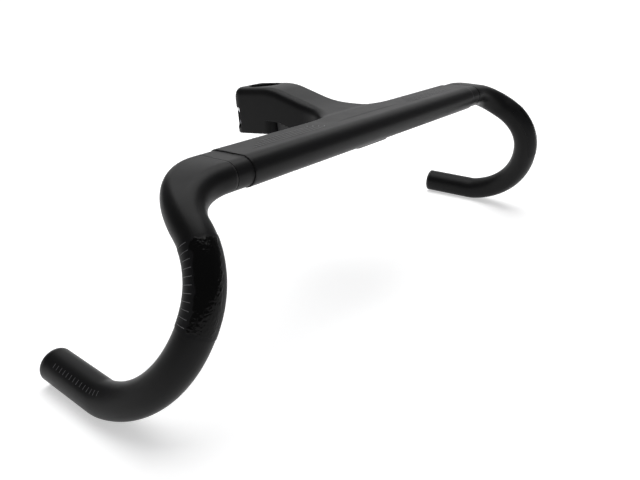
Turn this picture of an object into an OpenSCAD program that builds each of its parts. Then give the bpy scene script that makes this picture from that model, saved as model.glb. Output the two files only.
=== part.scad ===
// One-piece drop handlebar and stem for a road bicycle.
// Millimetres, +Z up, -Y forwards, +X to the rider's left.
// Origin: on the floor, under the middle of the bounding box, with the drops standing on the floor.

/* [Wing] */
// Bar end of the wing, from the middle plane
wing_half_length = 163; // [130:1:200]
// Radius of the rounded front edge
nose_radius = 11; // [8:0.5:15]
// Radius of the rounded rear edge
tail_edge_radius = 7.5; // [5:0.5:11]
// Front edge's centre, forward of the bar's centre line
nose_forward = 11.5; // [8:0.5:16]
// Rear edge's centre, behind the bar's centre line
tail_edge_back = 12; // [8:0.5:18]
// How far the rear edge's centre is above the front edge's
tail_edge_lift = 2.8; // [0:0.1:5]
// Carbon wall of the wing and the stem
wing_wall = 2.8; // [2:0.1:4]
// Depth of the step where the wing meets its slimmer end
end_step = 0.8; // [0.4:0.1:1.5]
// Length of the slimmer end of the wing
end_length = 15; // [10:1:25]

/* [Drops] */
// Outer diameter of the drop tube
tube_diameter = 24; // [22:0.1:26]
// Wall of the drop tube
tube_wall = 2; // [1.5:0.1:3]
// Straight start of the drop, before its bend
corner_lead = 4; // [2:0.5:10]
// Bend radius of the corner
corner_radius = 46; // [38:1:60]
// Angle the bar turns through at the corner
corner_turn = 75; // [65:1:85]
// How far the corner bends below level
corner_dip = 30; // [15:1:40]
// Turn of the hook's plane about the tube, which sets its flare
hook_roll = -107; // [-115:1:-95]
// Radius of the upper curve, where the brake lever sits
upper_radius = 50; // [40:1:65]
// Angle of the upper curve
upper_turn = 60; // [50:1:75]
// Radius of the lower curve
lower_radius = 78; // [60:1:95]
// Angle of the lower curve
lower_turn = 75; // [60:1:85]
// Radius of the last bend before the straight end
last_radius = 30; // [25:1:50]
// Angle of the last bend
last_turn = 14; // [5:1:25]
// Straight end of the drop
end_straight = 50; // [30:1:80]

/* [Stem] */
// Bar centre line to the steerer's axis, measured level
stem_length = 110.5; // [80:0.5:130]
// Top of the clamp above the bar's centre line
stem_rise = 19.4; // [10:0.1:30]
// Backward lean of the steerer's axis
steerer_lean = 7; // [0:0.5:17]
// Diameter of the steerer tube that the clamp takes
steerer_diameter = 28.6; // [25.4:0.1:31.8]
// Height of the clamp along the steerer
clamp_height = 41; // [36:1:46]
// Width of the stem
stem_width = 42; // [40:0.5:50]
// Metal behind the bolt line, to the clamp's back face
clamp_back_wall = 7.2; // [5:0.1:9]
// Clamp block in front of the steerer hole
clamp_front_wall = 8.2; // [4:0.1:12]
// Corner radius at the back of the clamp
clamp_back_radius = 13; // [8:0.5:18]
// Corner radius at the front of the clamp
clamp_front_radius = 9; // [4:0.5:12]
// Width of the pinch slit
slit_width = 2; // [1:0.1:3]
// Radius of the plan blend between stem and wing
stem_blend_radius = 35; // [20:1:50]
// Radius of the arch under the stem
arch_radius = 61.4; // [45:0.5:90]
// Highest point of the arch, below the bar's centre line
arch_depth = 6.8; // [4:0.1:10]

/* [Bottom pad and computer mount] */
// Bottom of the pad under the wing, below the bar's centre line
pad_depth = 15.8; // [13:0.1:20]
// Width of the pad
pad_width = 50; // [40:1:60]
// Front edge of the pad, forward of the bar's centre line
pad_forward = 9; // [4:0.5:12]
// Corner radius of the pad
pad_radius = 6; // [3:0.5:10]
// Distance between the two threaded inserts
insert_spacing = 28; // [20:1:36]
// Outer diameter of a threaded insert
insert_diameter = 6; // [5:0.1:8]
// Length of a threaded insert
insert_length = 6; // [4:0.5:8]
// Thread hole of an insert (M4 core)
insert_hole = 3.3; // [2.5:0.1:4.2]

/* [Clamp bolts] */
// Bolt thread diameter
bolt_diameter = 5; // [4:0.5:6]
// Bolt head diameter
bolt_head_diameter = 7.6; // [7:0.1:10]
// Bolt head height
bolt_head_height = 5; // [3:0.1:6]
// Bolt length under the head
bolt_length = 22.5; // [18:0.5:28]
// Hex socket across flats
bolt_socket = 4; // [3:0.5:5]
// Upper bolt below the top of the clamp
upper_bolt_depth = 20.2; // [10:0.1:24]
// Distance between the two bolts
bolt_spacing = 12.2; // [10.5:0.1:18]
// Wall between the steerer hole and a bolt hole
bolt_line_wall = 1.75; // [1.5:0.05:5]
// Outer face of a bolt head, from the middle plane
bolt_face = 14.5; // [13:0.1:17]
// Washer thickness
washer_thickness = 1; // [0.5:0.1:1.5]
// Diameter of a threaded sleeve nut
nut_diameter = 8; // [7:0.1:9]
// Length of a threaded sleeve nut
nut_length = 9; // [6:0.5:10]

/* [Hose cover] */
// Width of the cover under the stem
cover_width = 28; // [20:1:34]
// Bottom of the cover, below the bar's centre line
cover_depth = 20; // [18:0.1:24]
// Front edge of the cover, behind the bar's centre line
cover_start = 50; // [40:1:60]
// Length of the cover
cover_length = 37; // [25:1:37]
// Wall of the cover
cover_wall = 1.8; // [1.2:0.1:3]
// Diameter of a cover screw
cover_screw_diameter = 3; // [2.5:0.1:4]

/* [Lever zone] */
// Start of the grip film past the corner, along the tube
grip_start = 9.7; // [5:0.1:20]
// Length of the grip film along the tube
grip_length = 51; // [40:1:60]
// Thickness of the grip film
grip_thickness = 0.35; // [0.2:0.05:0.6]
// Part of the tube's circumference that the film covers, in degrees
grip_wrap = 200; // [120:5:300]

/* [Joining sleeves] */
// Length of a joining sleeve inside the wing's end
sleeve_in_wing = 16; // [10:1:25]
// Length of a joining sleeve inside the drop's start
sleeve_in_drop = 4; // [2:0.5:4]
// Wall of a joining sleeve
sleeve_wall = 1.6; // [1:0.1:2.4]

/* [End plugs] */
// Thickness of a plug's flange
flange_thickness = 2; // [1.5:0.1:3]
// Length of a plug's stub inside the tube
stub_length = 8; // [5:0.5:12]
// Length of a plug's expanding sleeve
expander_length = 14; // [10:0.5:20]
// Length of a plug's cone
cone_length = 10; // [6:0.5:14]
// Screw diameter of a plug
plug_screw_diameter = 4; // [3:0.5:5]
// Head diameter of a plug's screw
plug_screw_head = 8; // [6:0.1:9]
// Hex socket across flats of a plug's screw
plug_socket = 2.5; // [2:0.5:3]

/* [Fits] */
// Side clearance of turning and sliding fits
running_clearance = 0.08; // [0.02:0.01:0.1]
// Gap between curved faces that don't touch
free_gap = 0.3; // [0.2:0.05:0.5]
// Bond gap round a joining sleeve
bond_gap = 0.05; // [0:0.01:0.1]

/* [Hidden] */
$fn = 64;
loft_steps = 24;
arc_steps = 16;
low_steps = 90;

tube_radius = tube_diameter / 2;
tube_bore = tube_radius - tube_wall;
corner_bore = tube_bore - 3.5;
loft_tuck = 0.05;
bend_gap = 0.1;
collar_rise = 0.04;
steerer_radius = steerer_diameter / 2;
bar_end = wing_half_length + end_length;
corner_x = bar_end + corner_lead;

// Wing section: two circles joined by their tangents, as [y, z, radius].
section_shift = tail_edge_lift / 6;
blend_floor = tail_edge_lift - section_shift - tail_edge_radius;
nose = [-nose_forward, -section_shift, nose_radius];
tail_edge = [tail_edge_back, tail_edge_lift - section_shift, tail_edge_radius];

// Clamp sizes, in the steerer's own frame.
bolt_line = steerer_radius + bolt_line_wall + bolt_diameter / 2 + 0.25;
clamp_back = bolt_line + clamp_back_wall;
clamp_front = steerer_radius + clamp_front_wall;
clamp_foot_y = stem_length - clamp_front;
neck_tuck = 0.2;
neck_half = stem_width / 2 - neck_tuck;
neck_end = clamp_foot_y + clamp_front_radius;
lower_bolt_depth = upper_bolt_depth + bolt_spacing;
washer_seat = bolt_face - bolt_head_height - washer_thickness;
bolt_end = bolt_length - (bolt_face - bolt_head_height);
nut_end = bolt_end + 1;
nut_start = nut_end - nut_length;
pocket_floor = bolt_face + 0.7;

// Four-by-four moves that chain the bends of a drop.
function shifted(v) = [[1, 0, 0, v.x], [0, 1, 0, v.y], [0, 0, 1, v.z], [0, 0, 0, 1]];
function leaned(a) = [[cos(a), 0, sin(a), 0], [0, 1, 0, 0], [-sin(a), 0, cos(a), 0], [0, 0, 0, 1]];
function rolled(a) = [[cos(a), -sin(a), 0, 0], [sin(a), cos(a), 0, 0], [0, 0, 1, 0], [0, 0, 0, 1]];
function bent(radius, a) = shifted([radius * (1 - cos(a)), 0, radius * sin(a)]) * leaned(a);

// Frames along the right drop: local Z runs along the tube, local X points into the bend.
corner_frame = [
    [0, 0, -1, -corner_x],
    [-cos(corner_dip), -sin(corner_dip), 0, 0],
    [-sin(corner_dip), cos(corner_dip), 0, 0],
    [0, 0, 0, 1]
];
hook_frame = corner_frame * bent(corner_radius, corner_turn) * rolled(hook_roll);
lower_frame = hook_frame * bent(upper_radius, upper_turn);
last_frame = lower_frame * bent(lower_radius, lower_turn);
straight_frame = last_frame * bent(last_radius, last_turn);
end_frame = straight_frame * shifted([0, 0, end_straight]);

// The bar's height stands the drops on the floor, and its place centres the outline on the origin.
function bend_values(frame, radius, angle, row) =
    [for (i = [0:low_steps]) (frame * bent(radius, angle * i / low_steps))[row][3]];
function path_values(row) = concat(
    bend_values(corner_frame, corner_radius, corner_turn, row),
    bend_values(hook_frame, upper_radius, upper_turn, row),
    bend_values(lower_frame, lower_radius, lower_turn, row),
    bend_values(last_frame, last_radius, last_turn, row),
    [end_frame[row][3]]
);
bar_height = tube_radius - min(path_values(2));
front_y = min(path_values(1)) - tube_radius;
back_y = stem_length + clamp_back * cos(steerer_lean);
bar_y = -(front_y + back_y) / 2;

// Angles of the two shared tangents of a pair of circles.
function tangent_middle(a, b) = atan2(b.y - a.y, b.x - a.x);
function tangent_half(a, b) = acos((a.z - b.z) / norm([b.x - a.x, b.y - a.y]));
function on_circle(c, angle) = [c.x + c.z * cos(angle), c.y + c.z * sin(angle)];
function shrunk(c, inset) = [c.x, c.y, c.z - inset];

// Outline of the wing, as points in world Y and Z.
function wing_section(a, b) =
    let (middle = tangent_middle(a, b), half = tangent_half(a, b))
    concat(
        [for (i = [0:arc_steps]) on_circle(b, middle - half + 2 * half * i / arc_steps)],
        [for (i = [0:arc_steps]) on_circle(a, middle + half + (360 - 2 * half) * i / arc_steps)]
    );
function arc_points(centre, radius, from, to) =
    [for (i = [0:arc_steps])
        let (a = from + (to - from) * i / arc_steps)
        [centre.x + radius * cos(a), centre.y + radius * sin(a)]];

// A rectangle with round corners: half its width, its front and back edges, and their corner radii.
function rounded(half, front, back, front_radius, back_radius) = concat(
    arc_points([half - front_radius, front + front_radius], front_radius, 270, 360),
    arc_points([half - back_radius, back - back_radius], back_radius, 0, 90),
    arc_points([back_radius - half, back - back_radius], back_radius, 90, 180),
    arc_points([front_radius - half, front + front_radius], front_radius, 180, 270)
);
function eased(t) = t * t * (3 - 2 * t);

module place() {
    translate([0, bar_y, bar_height]) children();
}

module steerer_frame() {
    place()
        translate([0, stem_length, stem_rise])
            rotate([-steerer_lean, 0, 0])
                children();
}

module other_side() {
    mirror([1, 0, 0]) children();
}

// A length of wing along X, drawn inset from its outer surface.
module wing_length(inset, from_x, to_x) {
    translate([from_x, 0, 0])
        rotate([90, 0, 90])
            linear_extrude(height = to_x - from_x)
                polygon(wing_section(shrunk(nose, inset), shrunk(tail_edge, inset)));
}

// Plan of the neck between the wing and the clamp, with a blend on each side.
module neck_plan(inset) {
    half = neck_half - inset;
    foot = tail_edge_back + 4;
    middle_x = neck_half + stem_blend_radius;
    middle_y = foot + stem_blend_radius;
    reach = stem_blend_radius + inset;
    polygon(concat(
        [[-middle_x, 0], [middle_x, 0]],
        arc_points([middle_x, middle_y], reach, 270, 180),
        [[half, neck_end - inset], [-half, neck_end - inset]],
        arc_points([-middle_x, middle_y], reach, 360, 270)
    ));
}

// Side view of the neck.
module neck_side(inset) {
    top_back = stem_rise + clamp_front * tan(steerer_lean) - neck_tuck / 2;
    top_end = stem_rise + (clamp_front - clamp_front_radius) * tan(steerer_lean) - 2 * neck_tuck;
    polygon([
        [0, -nose.z + 6 + inset],
        [0, nose.z - 2.5 - inset],
        [30, nose.z - 0.4 - inset],
        [48, nose.z + 1.6 - inset],
        [clamp_foot_y, top_back - inset],
        [neck_end - inset, top_end - inset],
        [neck_end - inset, -pad_depth + inset],
        [0, -pad_depth + inset]
    ]);
}

// The blends reach down to the wing's rear edge, and the straight middle down to the pad.
module neck_block(inset) {
    half = neck_half - inset;
    intersection() {
        union() {
            translate([0, 0, blend_floor + inset])
                linear_extrude(height = stem_rise + 24)
                    neck_plan(inset);
            translate([-half, 0, -pad_depth - 5])
                cube([2 * half, neck_end - inset, pad_depth + 10]);
        }
        translate([-120, 0, 0])
            rotate([90, 0, 90])
                linear_extrude(height = 240)
                    neck_side(inset);
    }
}

// Space under the neck, in front of the clamp.
module arch_space(raise) {
    intersection() {
        translate([0, clamp_foot_y - 4, -arch_depth - arch_radius])
            rotate([0, 90, 0])
                cylinder(r = arch_radius + raise, h = 300, center = true, $fn = 180);
        translate([-150, stem_blend_radius, -pad_depth - 10])
            cube([300, clamp_foot_y + 20 - stem_blend_radius, 40]);
    }
}

// Pad under the wing, with round corners.
module pad_block() {
    half = pad_width / 2;
    translate([0, 0, -pad_depth])
        linear_extrude(height = pad_depth)
            polygon(rounded(half, -pad_forward, 31, pad_radius, pad_radius));
}

module clamp_plan() {
    polygon(rounded(stem_width / 2, -clamp_front, clamp_back, clamp_front_radius, clamp_back_radius));
}

// A cylinder along X in the steerer's frame, at a bolt's depth.
module bolt_bar(depth, from_x, to_x, radius) {
    translate([from_x, bolt_line, -depth])
        rotate([0, 90, 0])
            cylinder(r = radius, h = to_x - from_x);
}

// Hole for one bolt whose head is on the -X side.
module bolt_hole(depth) {
    head_radius = bolt_head_diameter / 2 + free_gap;
    bolt_bar(depth, -stem_width, -washer_seat, head_radius);
    bolt_bar(depth, -washer_seat - 1, nut_start + 1, bolt_diameter / 2 + 0.25);
    bolt_bar(depth, nut_start, stem_width, nut_diameter / 2);
}

module bolt_pocket() {
    radius = bolt_head_diameter / 2 + free_gap;
    for (depth = [upper_bolt_depth, lower_bolt_depth])
        bolt_bar(depth, -stem_width, -pocket_floor, radius);
    translate([-stem_width, bolt_line - radius, -lower_bolt_depth])
        cube([stem_width - pocket_floor, 2 * radius, bolt_spacing]);
}

// One hollow moulding: wing, neck, pad and steerer clamp.
module cockpit_shell() {
    color([0.09, 0.09, 0.1])
    difference() {
        union() {
            place() {
                wing_length(0, -wing_half_length, wing_half_length);
                wing_length(end_step, -bar_end, bar_end);
                difference() {
                    neck_block(0);
                    arch_space(0);
                }
                pad_block();
            }
            steerer_frame()
                translate([0, 0, -clamp_height])
                    linear_extrude(height = clamp_height)
                        clamp_plan();
        }
        place() {
            wing_length(wing_wall, -bar_end - 1, bar_end + 1);
            difference() {
                neck_block(wing_wall);
                arch_space(wing_wall);
                translate([-60, clamp_foot_y, -60]) cube([120, 60, 120]);
            }
            hose_opening();
            for (side = [-1, 1])
                translate([side * insert_spacing / 2, 0, -pad_depth - 1])
                    cylinder(d = insert_diameter, h = insert_length + 1);
            for (y = cover_screw_rows())
                translate([0, y, -pad_depth - 8])
                    cylinder(d = cover_screw_diameter, h = 20);
        }
        steerer_frame() {
            translate([0, 0, -clamp_height - 1])
                cylinder(r = steerer_radius, h = clamp_height + 12, $fn = 128);
            translate([-slit_width / 2, 0, -clamp_height - 1])
                cube([slit_width, clamp_back + 5, clamp_height + 12]);
            bolt_hole(upper_bolt_depth);
            other_side() bolt_hole(lower_bolt_depth);
            bolt_pocket();
            other_side() bolt_pocket();
        }
    }
}

function cover_screw_rows() = [cover_start + 7, cover_start + cover_length - 11];

// Where the hoses leave the neck, above the cover.
module hose_opening() {
    width = cover_width - 2 * cover_wall - 6;
    translate([-width / 2, cover_start + 12, -pad_depth - 4])
        cube([width, cover_length - 27, 14]);
}

module cover_block(inset) {
    difference() {
        translate([-cover_width / 2 + inset, cover_start + inset, -cover_depth + inset])
            cube([cover_width - 2 * inset, cover_length - inset + (inset > 0 ? 5 : 0), cover_depth]);
        difference() {
            translate([-40, 0, -pad_depth]) cube([80, 120, 60]);
            arch_space(0);
        }
    }
}

// Room for the clamp block behind the cover, with a free gap.
module clamp_room() {
    steerer_frame()
        translate([-cover_width, -clamp_front - free_gap, -clamp_height - 10])
            cube([2 * cover_width, 60, clamp_height + 10]);
}

module hose_cover() {
    color([0.13, 0.13, 0.14])
    difference() {
        place() cover_moulding();
        clamp_room();
    }
}

module cover_moulding() {
    difference() {
        cover_block(0);
        difference() {
            cover_block(cover_wall);
            for (y = cover_screw_rows())
                translate([0, y, -cover_depth - 1]) cylinder(d = 7, h = 30);
        }
        for (y = cover_screw_rows())
            translate([0, y, -cover_depth - 1]) {
                cylinder(d = cover_screw_diameter, h = 30);
                cylinder(d = 2 * cover_screw_diameter, h = 2.5);
            }
    }
}

module cover_screw(row) {
    color([0.2, 0.2, 0.21])
    place()
    translate([0, cover_screw_rows()[row], -cover_depth])
    difference() {
        union() {
            cylinder(d = cover_screw_diameter, h = 14);
            cylinder(d = 2 * cover_screw_diameter, h = 1.5);
        }
        translate([0, 0, -1]) cylinder(d = 2.3, h = 2, $fn = 6);
    }
}

module cover_screw_front() {
    cover_screw(0);
}

module cover_screw_rear() {
    cover_screw(1);
}

// A bend that starts at the origin along +Z and turns towards +X. Each end is a hair short.
module bend(radius, angle) {
    trim = bend_gap / radius * 180 / PI;
    translate([radius, 0, 0])
        rotate([90, 0, 180])
            rotate([0, 0, trim])
                rotate_extrude(angle = angle - 2 * trim, $fn = 180)
                    translate([radius, 0])
                        children();
}

// A hairline collar that joins the ends of two bends into one tube.
module joint_collar(radius) {
    translate([0, 0, -0.5]) cylinder(r = radius + collar_rise, h = 1);
}

// Places along the right drop. In each, local Z runs along the tube and local X points into the bend.
module past_bend(radius, angle) {
    translate([radius, 0, 0])
        rotate([0, angle, 0])
            translate([-radius, 0, 0])
                children();
}

module corner_place() {
    translate([-corner_x, 0, 0])
        rotate([corner_dip, 0, 0])
            rotate([90, 0, -90])
                children();
}

module hook_place() {
    corner_place() past_bend(corner_radius, corner_turn) rotate([0, 0, hook_roll]) children();
}

module lower_place() {
    hook_place() past_bend(upper_radius, upper_turn) children();
}

module last_place() {
    lower_place() past_bend(lower_radius, lower_turn) children();
}

module straight_place() {
    last_place() past_bend(last_radius, last_turn) children();
}

module tube_path(radius) {
    hook_place() bend(upper_radius, upper_turn) circle(r = radius);
    lower_place() joint_collar(radius);
    lower_place() bend(lower_radius, lower_turn) circle(r = radius);
    last_place() joint_collar(radius);
    last_place() bend(last_radius, last_turn) circle(r = radius);
    straight_place() joint_collar(radius);
    straight_place() translate([0, 0, bend_gap]) cylinder(r = radius, h = end_straight - bend_gap);
}

// One ring of the corner, which runs from the wing's section to the round tube.
function corner_ring(move, share) =
    let (
        outline = wing_section(shrunk(nose, end_step), shrunk(tail_edge, end_step)),
        count = len(outline),
        start = tangent_middle(nose, tail_edge) - tangent_half(nose, tail_edge),
        round_radius = tube_radius - loft_tuck
    )
    [for (i = [0:count - 1])
        let (
            round_at = start + 360 * i / count,
            y = (1 - share) * outline[i].x + share * round_radius * cos(round_at),
            z = (1 - share) * outline[i].y + share * round_radius * sin(round_at),
            side = -cos(corner_dip) * y - sin(corner_dip) * z,
            up = -sin(corner_dip) * y + cos(corner_dip) * z,
            point = move * [side, up, 0, 1]
        )
        [point.x, point.y, point.z]];

module corner_loft() {
    rings = concat(
        [corner_ring(shifted([0, 0, -corner_lead]), 0)],
        [for (i = [0:loft_steps])
            corner_ring(bent(corner_radius, corner_turn * i / loft_steps), eased(i / loft_steps))],
        [corner_ring(bent(corner_radius, corner_turn) * shifted([0, 0, 1]), 1)]
    );
    count = len(rings[0]);
    last = len(rings) - 1;
    sides = [for (k = [0:last - 1]) for (i = [0:count - 1])
        let (n = (i + 1) % count)
        each [
            [k * count + i, (k + 1) * count + n, (k + 1) * count + i],
            [k * count + i, k * count + n, (k + 1) * count + n]
        ]];
    caps = [
        [for (i = [count - 1:-1:0]) i],
        [for (i = [0:count - 1]) last * count + i]
    ];
    corner_place()
        polyhedron(points = [for (ring = rings) each ring], faces = concat(sides, caps), convexity = 4);
}

// Right-hand drop: corner, hook and straight end, hollow all the way.
module drop_body() {
    place()
    difference() {
        union() {
            corner_loft();
            tube_path(tube_radius);
        }
        wing_length(wing_wall + end_step, -bar_end - sleeve_in_drop, -bar_end + 1);
        corner_place() joint_collar(corner_bore);
        corner_place() bend(corner_radius, corner_turn) circle(r = corner_bore);
        hook_place() joint_collar(corner_bore);
        tube_path(tube_bore);
        straight_place() translate([0, 0, end_straight - 1]) cylinder(r = tube_bore, h = 2);
    }
}

module drop_right() {
    color([0.1, 0.1, 0.11]) drop_body();
}

module drop_left() {
    color([0.1, 0.1, 0.11]) other_side() drop_body();
}

// Bonded inside the wing's end and the drop's start.
module sleeve_body() {
    place()
    difference() {
        wing_length(wing_wall + end_step + bond_gap, -bar_end - sleeve_in_drop, -bar_end + sleeve_in_wing);
        wing_length(
            wing_wall + end_step + bond_gap + sleeve_wall,
            -bar_end - sleeve_in_drop - 1,
            -bar_end + sleeve_in_wing + 1
        );
    }
}

module joint_sleeve_right() {
    color([0.3, 0.3, 0.33]) sleeve_body();
}

module joint_sleeve_left() {
    color([0.3, 0.3, 0.33]) other_side() sleeve_body();
}

// Section of the grip film, centred on the front outer side of the tube.
module film_section(rise) {
    spread = tube_radius * 2;
    difference() {
        circle(r = tube_radius + grip_thickness + rise, $fn = 128);
        circle(r = tube_radius + rise, $fn = 128);
        rotate(-45 + 180)
            polygon([
                [0, 0],
                spread * [cos(180 - grip_wrap / 2), -sin(180 - grip_wrap / 2)],
                [spread * 1.2, -spread],
                [spread * 1.2, spread],
                spread * [cos(180 - grip_wrap / 2), sin(180 - grip_wrap / 2)]
            ]);
    }
}

module grip_body() {
    start_turn = grip_start / upper_radius * 180 / PI;
    rest = grip_length - (upper_turn - start_turn) * PI / 180 * upper_radius;
    place() {
        hook_place()
            past_bend(upper_radius, start_turn)
                bend(upper_radius, upper_turn - start_turn) film_section(0);
        lower_place()
            translate([0, 0, -0.5])
                linear_extrude(height = 1)
                    rotate(180) film_section(collar_rise);
        lower_place()
            bend(lower_radius, rest / lower_radius * 180 / PI) film_section(0);
    }
}

module lever_grip_right() {
    color([0.04, 0.04, 0.05]) grip_body();
}

module lever_grip_left() {
    color([0.04, 0.04, 0.05]) other_side() grip_body();
}

// Threaded inserts under the wing, for a bicycle computer's mount.
module mount_insert() {
    translate([0, 0, -pad_depth])
        difference() {
            cylinder(d = insert_diameter, h = insert_length);
            translate([0, 0, -1]) cylinder(d = insert_hole, h = insert_length + 2);
        }
}

module mount_insert_right() {
    color([0.78, 0.66, 0.36]) place() translate([-insert_spacing / 2, 0, 0]) mount_insert();
}

module mount_insert_left() {
    color([0.78, 0.66, 0.36]) place() translate([insert_spacing / 2, 0, 0]) mount_insert();
}

// A clamp bolt whose head is on the -X side.
module bolt_body(depth) {
    steerer_frame()
    difference() {
        union() {
            bolt_bar(depth, -bolt_face, -bolt_face + bolt_head_height, bolt_head_diameter / 2);
            bolt_bar(depth, -bolt_face + bolt_head_height - 1, bolt_end, bolt_diameter / 2);
        }
        translate([-bolt_face - 1, bolt_line, -depth])
            rotate([0, 90, 0])
                cylinder(d = bolt_socket / cos(30), h = 3.5, $fn = 6);
    }
}

module washer_body(depth) {
    steerer_frame()
    difference() {
        bolt_bar(depth, -washer_seat - washer_thickness, -washer_seat, bolt_head_diameter / 2);
        bolt_bar(depth, -stem_width, stem_width, bolt_diameter / 2 + running_clearance);
    }
}

module nut_body(depth) {
    steerer_frame()
    difference() {
        bolt_bar(depth, nut_start, nut_end, nut_diameter / 2);
        bolt_bar(depth, -stem_width, stem_width, bolt_diameter / 2 + running_clearance);
    }
}

module clamp_bolt_upper() {
    color([0.75, 0.75, 0.76]) bolt_body(upper_bolt_depth);
}

module clamp_bolt_lower() {
    color([0.75, 0.75, 0.76]) other_side() bolt_body(lower_bolt_depth);
}

module bolt_washer_upper() {
    color([0.6, 0.6, 0.62]) washer_body(upper_bolt_depth);
}

module bolt_washer_lower() {
    color([0.6, 0.6, 0.62]) other_side() washer_body(lower_bolt_depth);
}

module sleeve_nut_upper() {
    color([0.5, 0.5, 0.52]) nut_body(upper_bolt_depth);
}

module sleeve_nut_lower() {
    color([0.5, 0.5, 0.52]) other_side() nut_body(lower_bolt_depth);
}

// End plug, in the frame of the tube's end: local +Z points out of the bar.
module plug_frame() {
    place() straight_place() translate([0, 0, end_straight]) children();
}

cone_inner = plug_screw_diameter / 2 + 2.5;
cone_outer = tube_bore - 1.6;

module plug_cap() {
    hole = plug_screw_diameter / 2 + running_clearance;
    head = plug_screw_head / 2 + free_gap;
    plug_frame()
    difference() {
        union() {
            cylinder(r = tube_radius, h = flange_thickness);
            translate([0, 0, -stub_length]) cylinder(r = tube_bore - free_gap, h = stub_length + 1);
        }
        translate([0, 0, -stub_length - 1]) cylinder(r = hole, h = stub_length + 5);
        translate([0, 0, flange_thickness - 3]) cylinder(r = head, h = 4);
    }
}

module plug_expander() {
    low = -stub_length - expander_length;
    gap = running_clearance + free_gap;
    plug_frame()
    difference() {
        translate([0, 0, low]) cylinder(r = tube_bore - running_clearance, h = expander_length);
        translate([0, 0, low - 0.01])
            cylinder(r1 = cone_outer + gap - 1, r2 = cone_inner + gap - 1, h = expander_length + 0.02);
        translate([-0.6, 0, low - 1]) cube([1.2, tube_bore + 2, expander_length - 2]);
    }
}

module plug_cone() {
    low = -stub_length - expander_length;
    slope = (cone_outer - cone_inner) / expander_length;
    plug_frame()
    difference() {
        translate([0, 0, low])
            cylinder(r1 = cone_outer - 1, r2 = cone_outer - 1 - slope * cone_length, h = cone_length);
        translate([0, 0, low - 1])
            cylinder(r = plug_screw_diameter / 2 + running_clearance, h = cone_length + 2);
    }
}

module plug_screw() {
    low = -stub_length - expander_length - 1;
    plug_frame()
    difference() {
        union() {
            translate([0, 0, low]) cylinder(d = plug_screw_diameter, h = flange_thickness - 2 - low);
            translate([0, 0, flange_thickness - 3]) cylinder(d = plug_screw_head, h = 2.6);
        }
        translate([0, 0, flange_thickness - 2.2])
            cylinder(d = plug_socket / cos(30), h = 4, $fn = 6);
    }
}

module plug_cap_right() {
    color([0.05, 0.05, 0.05]) plug_cap();
}

module plug_cap_left() {
    color([0.05, 0.05, 0.05]) other_side() plug_cap();
}

module plug_expander_right() {
    color([0.35, 0.35, 0.36]) plug_expander();
}

module plug_expander_left() {
    color([0.35, 0.35, 0.36]) other_side() plug_expander();
}

module plug_cone_right() {
    color([0.7, 0.7, 0.72]) plug_cone();
}

module plug_cone_left() {
    color([0.7, 0.7, 0.72]) other_side() plug_cone();
}

module plug_screw_right() {
    color([0.25, 0.25, 0.26]) plug_screw();
}

module plug_screw_left() {
    color([0.25, 0.25, 0.26]) other_side() plug_screw();
}

cockpit_shell();
drop_right();
drop_left();
joint_sleeve_right();
joint_sleeve_left();
hose_cover();
cover_screw_front();
cover_screw_rear();
mount_insert_right();
mount_insert_left();
lever_grip_right();
lever_grip_left();
clamp_bolt_upper();
clamp_bolt_lower();
bolt_washer_upper();
bolt_washer_lower();
sleeve_nut_upper();
sleeve_nut_lower();
plug_cap_right();
plug_cap_left();
plug_expander_right();
plug_expander_left();
plug_cone_right();
plug_cone_left();
plug_screw_right();
plug_screw_left();
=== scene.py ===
# %% [markdown]
# # A road cockpit in carbon
# This object is the front end of a road bicycle: a hollow drop handlebar and its stem, moulded as
# one piece of carbon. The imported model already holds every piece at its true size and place. Here
# each visible piece gets its smooth moulded surface and its finish, in the same frame, in metres.

import math

import bmesh
import bpy
import numpy as np
from mathutils import Matrix, Vector, noise


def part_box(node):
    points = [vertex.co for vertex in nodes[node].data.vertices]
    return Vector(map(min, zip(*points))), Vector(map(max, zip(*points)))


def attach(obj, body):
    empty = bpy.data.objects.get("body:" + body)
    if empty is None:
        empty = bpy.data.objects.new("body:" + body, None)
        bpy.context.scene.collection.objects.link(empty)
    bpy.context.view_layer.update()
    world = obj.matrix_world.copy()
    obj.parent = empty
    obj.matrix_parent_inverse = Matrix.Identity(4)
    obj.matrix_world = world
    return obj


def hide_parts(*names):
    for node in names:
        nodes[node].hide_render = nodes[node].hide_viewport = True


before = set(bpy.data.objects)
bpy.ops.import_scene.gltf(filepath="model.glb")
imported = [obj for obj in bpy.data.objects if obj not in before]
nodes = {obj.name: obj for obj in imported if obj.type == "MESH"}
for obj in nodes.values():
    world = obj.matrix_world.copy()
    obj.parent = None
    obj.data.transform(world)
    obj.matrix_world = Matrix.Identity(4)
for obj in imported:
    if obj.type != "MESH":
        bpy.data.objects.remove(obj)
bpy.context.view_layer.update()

# %% [markdown]
# Designers of bars and stems work in millimetres, so the shapes below do too, measured from the
# middle of the bar, and are turned into metres when a mesh is made. The middle of the bar is found
# from a piece that the frame already has: a threaded insert sits right under it, flush with the pad.

# %% The middle of the bar
MM = 0.001
PAD_DEPTH = 15.8
insert_low, insert_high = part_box("mount_insert_right")
bar_middle = np.array([
    0.0,
    (insert_low[1] + insert_high[1]) / 2 / MM,
    insert_low[2] / MM + PAD_DEPTH,
])
print("bar middle, mm", bar_middle.round(2))

# %% [markdown]
# ## Helpers for making meshes
# Every piece ends as one plain mesh at the origin with its place in its vertices. Smooth shading
# with sharp edges marked by angle keeps long curves soft and machined edges crisp.

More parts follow.
